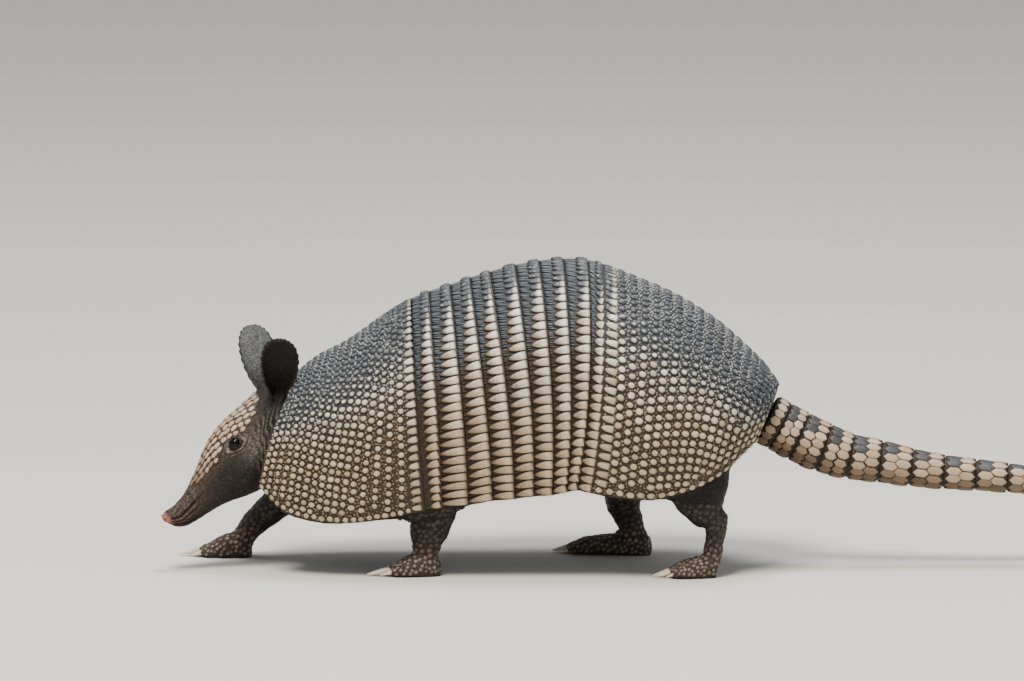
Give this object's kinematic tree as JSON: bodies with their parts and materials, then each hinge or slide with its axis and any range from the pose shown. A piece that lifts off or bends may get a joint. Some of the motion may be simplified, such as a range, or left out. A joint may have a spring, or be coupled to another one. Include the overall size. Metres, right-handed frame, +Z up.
{
  "type": "nine-banded armadillo",
  "caption": "Life-size walking armadillo with a jointed-looking shell, long snout, tall ears and ringed tail; stands on its own feet.",
  "frame": {"origin": "on the floor, under the middle of the length and width", "axes": "+X from the head to the tail, +Y to the animal's right side, +Z up; the head points to -X"},
  "size_m": [0.761, 0.1628, 0.2174],
  "materials": {
    "shield_scutes": "horny scutes in rows, satin",
    "band_scutes": "horny wedge scutes, satin",
    "tail_scutes": "horny scutes in rings, satin",
    "forehead_scutes": "flat horny scutes, satin",
    "hide": "wrinkled dark hide with fine hairs, matt",
    "ear_skin": "bare pebbly skin, matt",
    "eye": "wet black, glossy",
    "claw_horn": "horn, satin"
  },
  "bodies": {
    "root": {"scapular_shield": "shield_scutes", "band_1": "band_scutes", "band_2": "band_scutes", "band_3": "band_scutes", "band_4": "band_scutes", "band_5": "band_scutes", "band_6": "band_scutes", "band_7": "band_scutes", "band_8": "band_scutes", "band_9": "band_scutes", "pelvic_shield_front": "shield_scutes", "pelvic_shield_rear": "shield_scutes", "trunk": "hide", "neck": "hide", "head": "hide", "head_shield": "forehead_scutes", "eye_left": "eye", "ear_left": "ear_skin", "eye_right": "eye", "ear_right": "ear_skin", "tail_1": "tail_scutes", "tail_2": "tail_scutes", "tail_3": "tail_scutes", "tail_4": "tail_scutes", "tail_5": "tail_scutes", "tail_6": "tail_scutes", "tail_7": "tail_scutes", "tail_8": "tail_scutes", "tail_9": "tail_scutes", "tail_10": "tail_scutes", "tail_11": "tail_scutes", "tail_12": "tail_scutes", "leg_front_left": "hide", "foot_front_left": "hide", "claw_front_left_1": "claw_horn", "claw_front_left_2": "claw_horn", "claw_front_left_3": "claw_horn", "claw_front_left_4": "claw_horn", "leg_front_right": "hide", "foot_front_right": "hide", "claw_front_right_1": "claw_horn", "claw_front_right_2": "claw_horn", "claw_front_right_3": "claw_horn", "claw_front_right_4": "claw_horn", "leg_rear_left": "hide", "foot_rear_left": "hide", "claw_rear_left_1": "claw_horn", "claw_rear_left_2": "claw_horn", "claw_rear_left_3": "claw_horn", "claw_rear_left_4": "claw_horn", "claw_rear_left_5": "claw_horn", "leg_rear_right": "hide", "foot_rear_right": "hide", "claw_rear_right_1": "claw_horn", "claw_rear_right_2": "claw_horn", "claw_rear_right_3": "claw_horn", "claw_rear_right_4": "claw_horn", "claw_rear_right_5": "claw_horn"}
  },
  "joints": []
}
